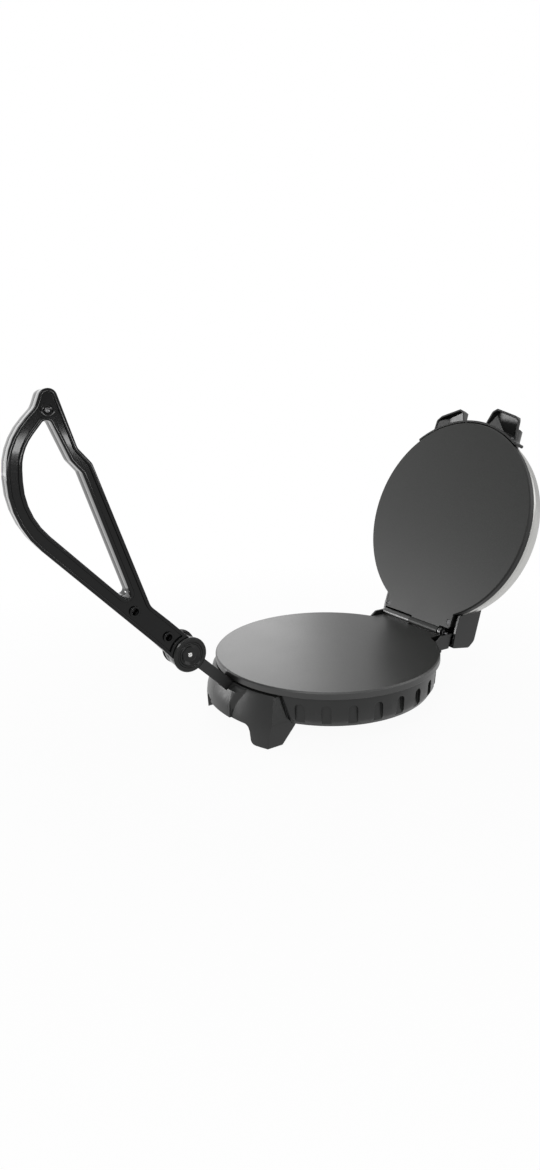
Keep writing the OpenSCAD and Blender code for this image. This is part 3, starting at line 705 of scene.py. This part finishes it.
def finish(name):
    """A finish by its name, made once, in the colours of the settings."""
    look = bpy.context.scene.roti_look
    if name not in FINISHES:
        makers = {
            "body_plastic": lambda: moulded(
                "satin_black_plastic", look.body_colour,
                roughness=0.33, texture=0.12, edge=0.0008, gloss=0.44,
            ),
            "handle_plastic": lambda: polished(
                "gloss_black_plastic", look.handle_colour, roughness=0.075
            ),
            "lower_coating": lambda: coated(
                "lower_coating", look.plate_colour, (0, 0, 1), roughness=0.33, gloss=0.85
            ),
            "upper_coating": lambda: coated(
                "upper_coating", look.plate_colour, tuple(LID_AXIS), roughness=0.42, gloss=0.36
            ),
            "shell_steel": lambda: stainless(
                "turned_stainless_sheet", look.shell_colour, roughness=0.3
            ),
            "gloss_plastic": lambda: polished(
                "polished_black_plastic", look.body_colour, roughness=0.17
            ),
            "dial_print": lambda: moulded(
                "pale_print", (0.62, 0.62, 0.6), roughness=0.5, texture=0.1, edge=0.0001
            ),
            "screw_steel": lambda: metal(
                "dull_screw_steel", (0.13, 0.13, 0.132), roughness=0.27
            ),
            "dark_screw": lambda: metal(
                "blackened_steel", (0.045, 0.045, 0.046), roughness=0.34
            ),
            "fastener": lambda: metal("zinc_plating", (0.5, 0.5, 0.49), roughness=0.38),
            "inner_metal": lambda: metal(
                "rolled_aluminium", (0.62, 0.62, 0.61), roughness=0.45
            ),
            "bright_pin": lambda: metal(
                "bright_turned_steel", (0.68, 0.68, 0.67), roughness=0.22
            ),
            "strut_paint": lambda: moulded(
                "satin_grey_paint", look.strut_colour, roughness=0.36, texture=0.1, edge=0.0009
            ),
            "seal": lambda: rubbery("black_silicone", (0.02, 0.02, 0.02)),
            "foot_rubber": lambda: rubbery("foot_rubber", (0.025, 0.025, 0.025)),
            "panel_plastic": lambda: moulded(
                "matte_grey_panel", look.panel_colour,
                roughness=0.5, texture=0.3, edge=0.0006, gloss=0.4,
            ),
            "red_lens": lambda: lens("red_lens", (0.6, 0.02, 0.015)),
            "green_lens": lambda: lens("green_lens", (0.03, 0.45, 0.07)),
        }
        FINISHES[name] = makers[name]()
    return FINISHES[name]


def skin(node, body, slot, look=None):
    """Dresses a merged copy of a solid, which takes the solid's place."""
    return dress(shaped_copy(node), node + "_skin", body, slot, finish(look or slot), node)


# ---- Settings ----


class RotiLook(bpy.types.PropertyGroup):
    """Colours of the pieces."""

    body_colour: bpy.props.FloatVectorProperty(
        name="Body plastic",
        description="Colour of the base, the press block and the rear housing",
        subtype="COLOR",
        min=0.0,
        max=1.0,
        default=(0.0098, 0.0102, 0.01),
    )
    handle_colour: bpy.props.FloatVectorProperty(
        name="Handle plastic",
        description="Colour of the loop handle",
        subtype="COLOR",
        min=0.0,
        max=1.0,
        default=(0.0026, 0.0028, 0.003),
    )
    plate_colour: bpy.props.FloatVectorProperty(
        name="Plate coating",
        description="Colour of the non-stick coating",
        subtype="COLOR",
        min=0.0,
        max=1.0,
        default=(0.0108, 0.0114, 0.0105),
    )
    shell_colour: bpy.props.FloatVectorProperty(
        name="Lid shell",
        description="Colour of the stainless sheet",
        subtype="COLOR",
        min=0.0,
        max=1.0,
        default=(0.5, 0.5, 0.485),
    )
    strut_colour: bpy.props.FloatVectorProperty(
        name="Strut",
        description="Colour of the strut's paint",
        subtype="COLOR",
        min=0.0,
        max=1.0,
        default=(0.006, 0.0063, 0.0063),
    )
    panel_colour: bpy.props.FloatVectorProperty(
        name="Control panel",
        description="Colour of the control panel",
        subtype="COLOR",
        min=0.0,
        max=1.0,
        default=(0.06, 0.061, 0.063),
    )


class RotiSizes(bpy.types.PropertyGroup):
    """Sizes of the handle and the knob."""

    rim_width: bpy.props.FloatProperty(
        name="Handle rim",
        description="Width of the raised rims round the handle",
        subtype="DISTANCE",
        unit="LENGTH",
        default=3.6 * MM,
    )
    channel_depth: bpy.props.FloatProperty(
        name="Handle channel",
        description="Depth of the channel between the handle's rims",
        subtype="DISTANCE",
        unit="LENGTH",
        default=2.3 * MM,
    )
    knob_grips: bpy.props.IntProperty(
        name="Knob grips", description="Number of ribs round the knob", min=1, default=18
    )


class RotiStage(bpy.types.PropertyGroup):
    """Floor, light and camera."""

    floor_size: bpy.props.FloatProperty(
        name="Floor",
        description="Width of the floor",
        subtype="DISTANCE",
        unit="LENGTH",
        default=8.0,
    )
    sky: bpy.props.FloatProperty(
        name="Room light", description="Strength of the light from all round", default=0.24
    )
    mirror: bpy.props.FloatProperty(
        name="Mirrored room",
        description="How white the room shows in reflections",
        min=0.0,
        max=1.0,
        default=0.55,
    )
    mirror_floor: bpy.props.FloatProperty(
        name="Mirrored floor",
        description="How white the floor shows in reflections",
        min=0.0,
        max=1.0,
        default=0.9,
    )
    lens_mm: bpy.props.FloatProperty(
        name="Lens", description="Focal length on a 36 mm tall sensor", default=20.49
    )


# ---- Pieces ----


class ROTI_OT_base(bpy.types.Operator):
    """Base with its saddle, cover, feet and rear block"""

    bl_idname = "roti.base"
    bl_label = "Base"

    def execute(self, context):
        for node in ("base_tub", "bottom_cover", "rear_hinge_block", "cord_bushing"):
            skin(node, "base", "body_plastic")
        saddle = joined("saddle", [shaped_copy("front_saddle"), self.flank(1), self.flank(-1)])
        dress(saddle, "front_saddle_skin", "base", "body_plastic", finish("body_plastic"),
              "front_saddle")
        skin("foot_pads", "base", "foot_rubber")
        skin("base_gasket", "base", "seal")
        skin("bottom_screws", "base", "fastener")
        return {"FINISHED"}

    def flank(self, way):
        """Slanted side that leads the boss round the strut into the saddle."""
        flank = lathe("flank", BOSS_SKIN, FLAT, BOSS_STEPS, True)
        plan = [(way * across, along) for across, along in BOSS_FLANK]
        tool = slab("plan", [plan], FLANK_LOW, FLANK_HIGH, TOOL_ROUND, FLAT)
        return smooth(settle(cut(flank, tool, "INTERSECT"), ON_TABLE))


class ROTI_OT_plates(bpy.types.Operator):
    """Cast cooking plates"""

    bl_idname = "roti.plates"
    bl_label = "Cooking plates"

    def execute(self, context):
        skin("lower_plate", "base", "plate_coating", "lower_coating")
        skin("upper_plate", "lid", "plate_coating", "upper_coating")
        return {"FINISHED"}


class ROTI_OT_inside(bpy.types.Operator):
    """Heaters, shields, posts, fuse and thermostat inside the housings"""

    bl_idname = "roti.inside"
    bl_label = "Inner pieces"

    def execute(self, context):
        for node in ("plate_posts", "thermal_fuse", "strut_bracket", "strut_bolt",
                     "thermostat_bracket", "thermostat"):
            finish_node(node, finish("fastener"))
        for node in ("lower_element", "upper_element", "lower_heat_shield", "lid_heat_shield"):
            finish_node(node, finish("inner_metal"))
        return {"FINISHED"}


class ROTI_OT_hinge(bpy.types.Operator):
    """Hinge pin, its clips and the neck screws"""

    bl_idname = "roti.hinge"
    bl_label = "Hinge"

    def execute(self, context):
        skin("hinge_pin", "base", "bright_pin", "dark_screw")
        skin("hinge_clips", "base", "fastener")
        skin("neck_screws", "lid", "fastener", "dark_screw")
        return {"FINISHED"}


class ROTI_OT_strut(bpy.types.Operator):
    """Strut and knuckle that carry the handle"""

    bl_idname = "roti.strut"
    bl_label = "Strut and knuckle"

    def execute(self, context):
        skin("strut", "base", "strut_paint")
        ends = []
        for side, way in (("right", 1), ("left", -1)):
            out = ON_KNUCKLE @ turn(90 * way, "Y")
            face = out @ move(0, 0, HALF_W + COVER_OUT)
            disc = turned("disc", DISC_PROFILE, face, WIDE_STEPS, True)
            dress(disc, "knuckle_cover_" + side, "base", "body_plastic",
                  finish("gloss_plastic"), "knuckle_disc_" + side)
            face = out @ move(0, 0, HALF_W + RIVET_OUT)
            ends.append(turned("rivet", RIVET_PROFILE, face, SMALL_STEPS))
        shank = turned("shank", SHANK_PROFILE, ON_KNUCKLE @ turn(90, "Y"), SMALL_STEPS)
        dress(joined("rivet", [shank] + ends), "knuckle_rivet", "base", "bright_pin",
              finish("bright_pin"), "knuckle_pin")
        return {"FINISHED"}


class ROTI_OT_lid(bpy.types.Operator):
    """Steel shell, press block, rear housing and seal of the lid"""

    bl_idname = "roti.lid"
    bl_label = "Lid"

    def execute(self, context):
        skin("lid_shell", "lid", "shell_steel")
        skin("press_block", "lid", "body_plastic")
        skin("rear_housing", "lid", "body_plastic")
        skin("lid_gasket", "lid", "seal")
        return {"FINISHED"}


class ROTI_OT_controls(bpy.types.Operator):
    """Control panel with its lamps and the thermostat knob"""

    bl_idname = "roti.controls"
    bl_label = "Controls"

    def execute(self, context):
        outlines = [rounded(inset(PANEL_PLAN, PANEL_IN)), ring(KNOB_AT, KNOB_HOLE_R)]
        outlines += [ring((x, LAMP_Y), LAMP_HOLE_R) for _, x, _ in LAMPS]
        panel = slab("panel", outlines, POD_Z - PANEL_DOWN, PANEL_Z, PANEL_ROUND, ON_LID)
        dress(panel, "control_plate", "lid", "panel_plastic", finish("panel_plastic"),
              "control_panel")
        dress(self.marks(), "dial_marks", "lid", "panel_plastic", finish("dial_print"))
        for node, x, slot in LAMPS:
            foot = ON_LID @ move(x, LAMP_Y, POD_Z - LAMP_DOWN)
            cap = turned("lens", LAMP_PROFILE, foot, SMALL_STEPS)
            dress(cap, node + "_lens", "lid", slot, finish(slot), node)
        self.knob(context.scene.roti_sizes.knob_grips)
        return {"FINISHED"}

    def marks(self):
        """Ticks and stroke numbers round the knob, printed on the panel."""
        strokes = []
        for i in range(DIAL_TICKS):
            angle = DIAL_START + DIAL_TURN * i / (DIAL_TICKS - 1)
            long = i % DIAL_EACH == 0
            spot = ON_LID @ move(*KNOB_AT, PANEL_Z) @ turn(angle, "Z")
            reach = TICK_LONG if long else TICK_SHORT
            strokes.append(self.stroke(box(-TICK_HALF_W, TICK_FROM, TICK_HALF_W, reach), spot))
            if long:
                spot = spot @ move(0, DIGIT_R, 0) @ turn(-angle, "Z")
                for x0, y0, x1, y1 in DIGITS[i // DIAL_EACH]:
                    outline = box(
                        min(x0, x1) - STROKE_HALF_W, min(y0, y1) - STROKE_HALF_W,
                        max(x0, x1) + STROKE_HALF_W, max(y0, y1) + STROKE_HALF_W,
                    )
                    strokes.append(self.stroke(outline, spot))
        return joined("dial_marks", strokes)

    def stroke(self, outline, spot):
        """One printed line."""
        return slab("stroke", [outline], PRINT_LOW, PRINT_HIGH, PRINT_ROUND, spot, 1)

    def knob(self, grips):
        """Knob with its grip ribs, and the line that points at the marks."""
        place = ON_LID @ move(*KNOB_AT, KNOB_Z)
        parts = [turned("knob", KNOB_PROFILE, place, WIDE_STEPS, True)]
        for i in range(grips):
            spot = place @ turn(360 / grips * i, "Z") @ move(GRIP_R, 0, GRIP_Z)
            parts.append(turned("grip", GRIP_PROFILE, spot, GRIP_STEPS))
        dress(joined("knob", parts), "thermostat_dial", "knob", "body_plastic",
              finish("gloss_plastic"), "thermostat_knob")
        line = box(-POINTER_HALF_W, POINTER_FROM, POINTER_HALF_W, POINTER_TO)
        pointer = slab("pointer", [line], POINTER_LOW, POINTER_HIGH, POINTER_ROUND, place, 1)
        dress(pointer, "dial_pointer", "knob", "panel_plastic", finish("dial_print"))


class ROTI_OT_handle(bpy.types.Operator):
    """Two halves of the loop handle and their screws"""

    bl_idname = "roti.handle"
    bl_label = "Handle"

    def execute(self, context):
        sizes = context.scene.roti_sizes
        for node, way in (("handle_right", 1), ("handle_left", -1)):
            place = ON_TABLE @ Matrix.Scale(way, 4, (1, 0, 0)) @ SIDE_ON
            half = self.half(
                node + "_half", place, way, sizes.rim_width / MM, sizes.channel_depth / MM
            )
            dress(half, node + "_half", "handle", "handle_plastic",
                  finish("handle_plastic"), node)
        dress(self.screws(), "handle_screw_heads", "handle", "fastener",
              finish("screw_steel"), "handle_screws")
        return {"FINISHED"}

    def screws(self):
        """Pan heads with a cross recess, in the right half's counterbores."""
        heads = []
        for (across, up), depth, _ in HANDLE_SCREWS:
            head = turned("head", SCREW_PROFILE, FLAT, SMALL_STEPS)
            for angle in CROSS_TURNS:
                bar = [box(-CROSS_LONG, -CROSS_WIDE, CROSS_LONG, CROSS_WIDE)]
                way = turn(angle, "Z")
                cut(head, slab("slot", bar, CROSS_LOW, CROSS_HIGH, CROSS_ROUND, way, 1))
            spot = ON_TABLE @ SIDE_ON @ move(across, up, HALF_W - depth)
            heads.append(smooth(settle(head, spot)))
        return joined("heads", heads)

    def half(self, name, place, way, rim, channel):
        """One moulded half: a wall, raised rims along its edges, lands and counterbores."""
        knuckle = (-KNUCKLE_Y, KNUCKLE_Z)
        wall = HALF_W - channel
        outer, opening = rounded(HANDLE_OUTER), rounded(HANDLE_OPENING)
        half = slab(name, [outer, opening], 0, wall, SEAM, FLAT)
        eye = [ring(knuckle, EYE_R, KNUCKLE_STEPS)]
        cut(half, slab("eye", eye, 0, HALF_W, SEAM, FLAT), "UNION")
        for loops in (
            [outer, rounded(inset(HANDLE_OUTER, rim))],
            [rounded(inset(HANDLE_OPENING, -rim)), opening],
        ):
            cut(half, slab("rim", loops, wall - RIM_FOOT, HALF_W, RIM_ROUND, FLAT), "UNION")
        round_knuckle = [ring(knuckle, LAND_R, KNUCKLE_STEPS)]
        land = slab("land", round_knuckle, wall - SUNK, HALF_W, LAND_ROUND, FLAT)
        inside = [
            rounded(inset(HANDLE_OUTER, LAND_IN)), rounded(inset(HANDLE_OPENING, -LAND_IN)),
        ]
        cut(land, slab("trim", inside, 0, HALF_W + 2, LAND_ROUND, FLAT), "INTERSECT")
        cut(half, land, "UNION")
        for at, depth, radius in HANDLE_SCREWS:
            around = [ring(at, radius + WELL_WALL)]
            cut(half, slab("boss", around, wall - SUNK, HALF_W, BOSS_ROUND, FLAT), "UNION")
            if way > 0:
                well = [ring(at, radius)]
                cut(half, slab("well", well, HALF_W - depth, HALF_W + 3, WELL_ROUND, FLAT))
        cut(half, slab("fork", [self.fork_gap(knuckle)], -1, ARM_X, TOOL_ROUND, FLAT))
        cut(half, slab("bore", [ring(knuckle, BORE_R)], -2, HALF_W + 2, TOOL_ROUND, FLAT))
        settle(half, place)
        open_mesh(half)
        bpy.ops.mesh.normals_make_consistent(inside=False)
        close_mesh()
        return smooth(half, HANDLE_SHARP_EDGE)

    def fork_gap(self, knuckle):
        """Room for the strut's eye, narrower where the fork's web closes it."""
        gap = []
        for angle in range(0, 360, 4):
            radius = WEB_R if WEB_FROM <= angle <= WEB_TO else FORK_R
            a = math.radians(angle)
            gap.append((knuckle[0] + radius * math.cos(a), knuckle[1] + radius * math.sin(a)))
        return gap


class ROTI_OT_stage(bpy.types.Operator):
    """Pale floor, soft light and the camera"""

    bl_idname = "roti.stage"
    bl_label = "Floor, light and camera"

    def execute(self, context):
        stage = context.scene.roti_stage
        self.floor(stage.floor_size, stage.mirror_floor)
        self.room(context.scene, stage.sky, stage.mirror)
        self.lamps()
        self.camera(context.scene, stage.lens_mm)
        context.scene.view_settings.view_transform = "Standard"
        return {"FINISHED"}

    def floor(self, size, mirror):
        """Matte floor that keeps the shadow and melts into the white room."""
        bpy.ops.object.select_all(action="DESELECT")
        bpy.ops.mesh.primitive_plane_add(size=size, location=(0, 0, FLOOR_Z))
        floor = bpy.context.object
        floor.name = "pale_floor"
        f = Finish("pale_floor")
        seen = f.add("ShaderNodeLightPath", {}, {}, "Is Camera Ray")
        mirrored = Value(f, seen.socket.node.outputs["Is Glossy Ray"])
        cloud = f.grain(scale=3.0, detail=2.0)
        paper = f.blend(cloud, (0.6, 0.6, 0.6, 1), (0.63, 0.63, 0.63, 1))
        away = f.add("ShaderNodeVectorMath", {"operation": "LENGTH"}, {0: f.place}, "Value")
        share = (seen + mirrored * mirror) * (0.95 + away.kept(0.25, 0.7) * 0.05)
        matte = f.add("ShaderNodeBsdfDiffuse", {}, {"Color": paper})
        white = f.add("ShaderNodeEmission", {}, {"Color": (1, 1, 1, 1), "Strength": 1.0})
        mixed = f.add("ShaderNodeMixShader", {}, {0: share, 1: matte, 2: white})
        output = f.nodes.new("ShaderNodeOutputMaterial")
        f.links.new(mixed.socket, output.inputs["Surface"])
        floor.data.materials.append(f.material)

    def room(self, scene, strength, mirror):
        """White room: full to the camera, dimmer in reflections, soft as light."""
        world = bpy.data.worlds.new("pale_room")
        world.use_nodes = True
        scene.world = world
        nodes, links = world.node_tree.nodes, world.node_tree.links
        nodes.clear()
        path = nodes.new("ShaderNodeLightPath")
        white = nodes.new("ShaderNodeMath")
        white.operation = "MULTIPLY_ADD"
        links.new(path.outputs["Is Glossy Ray"], white.inputs[0])
        white.inputs[1].default_value = mirror
        links.new(path.outputs["Is Camera Ray"], white.inputs[2])
        level = nodes.new("ShaderNodeMapRange")
        level.inputs["To Min"].default_value = strength
        level.inputs["To Max"].default_value = 1.0
        links.new(white.outputs[0], level.inputs["Value"])
        light = nodes.new("ShaderNodeBackground")
        light.inputs["Color"].default_value = (1, 1, 1, 1)
        links.new(level.outputs[0], light.inputs["Strength"])
        output = nodes.new("ShaderNodeOutputWorld")
        links.new(light.outputs[0], output.inputs["Surface"])

    def lamps(self):
        """Soft boxes that face the cooker."""
        for name, place, power, width, height in STUDIO_LAMPS:
            lamp = bpy.data.lights.new(name, "AREA")
            lamp.shape = "RECTANGLE"
            lamp.energy = power
            lamp.size = width
            lamp.size_y = height
            holder = bpy.data.objects.new(name, lamp)
            holder.location = place
            away = Vector(place) - Vector(LAMPS_FACE)
            holder.rotation_euler = away.to_track_quat("Z", "Y").to_euler()
            bpy.context.scene.collection.objects.link(holder)

    def camera(self, scene, lens_mm):
        """Camera at the photograph's place and angle."""
        camera = bpy.data.cameras.new("photo_camera")
        camera.sensor_fit = "VERTICAL"
        camera.sensor_height = SENSOR_HEIGHT
        camera.lens = lens_mm
        camera.shift_y = CAMERA_SHIFT
        camera.clip_end = CAMERA_END
        holder = bpy.data.objects.new("photo_camera", camera)
        azimuth, elevation, roll = (
            math.radians(a) for a in (CAMERA_AZIMUTH, CAMERA_ELEVATION, CAMERA_ROLL)
        )
        back = Vector((
            math.sin(azimuth) * math.cos(elevation),
            -math.cos(azimuth) * math.cos(elevation),
            math.sin(elevation),
        ))
        right = Vector((math.cos(azimuth), math.sin(azimuth), 0))
        up = back.cross(right)
        right, up = (
            right * math.cos(roll) + up * math.sin(roll),
            up * math.cos(roll) - right * math.sin(roll),
        )
        axes = Matrix((right, up, back)).transposed().to_4x4()
        holder.matrix_world = move(*CAMERA_AT) @ axes
        scene.collection.objects.link(holder)
        scene.camera = holder


class ROTI_PT_panel(bpy.types.Panel):
    """Buttons for the pieces and the stage"""

    bl_idname = "ROTI_PT_panel"
    bl_label = "Roti maker"
    bl_space_type = "VIEW_3D"
    bl_region_type = "UI"
    bl_category = "Roti maker"

    def draw(self, context):
        for operator in OPERATORS:
            self.layout.operator(operator.bl_idname)
        scene = context.scene
        for group in (scene.roti_look, scene.roti_sizes, scene.roti_stage):
            for name in group.__annotations__:
                self.layout.prop(group, name)


OPERATORS = (
    ROTI_OT_base,
    ROTI_OT_plates,
    ROTI_OT_inside,
    ROTI_OT_hinge,
    ROTI_OT_strut,
    ROTI_OT_lid,
    ROTI_OT_controls,
    ROTI_OT_handle,
    ROTI_OT_stage,
)
CLASSES = (RotiLook, RotiSizes, RotiStage) + OPERATORS + (ROTI_PT_panel,)


def register():
    for each in CLASSES:
        bpy.utils.register_class(each)
    bpy.types.Scene.roti_look = bpy.props.PointerProperty(type=RotiLook)
    bpy.types.Scene.roti_sizes = bpy.props.PointerProperty(type=RotiSizes)
    bpy.types.Scene.roti_stage = bpy.props.PointerProperty(type=RotiStage)


def unregister():
    del bpy.types.Scene.roti_stage
    del bpy.types.Scene.roti_sizes
    del bpy.types.Scene.roti_look
    for each in reversed(CLASSES):
        bpy.utils.unregister_class(each)


def main():
    """Builds everything in order."""
    register()
    for operator in OPERATORS:
        group, name = operator.bl_idname.split(".")
        getattr(getattr(bpy.ops, group), name)()


if __name__ == "__main__":
    main()
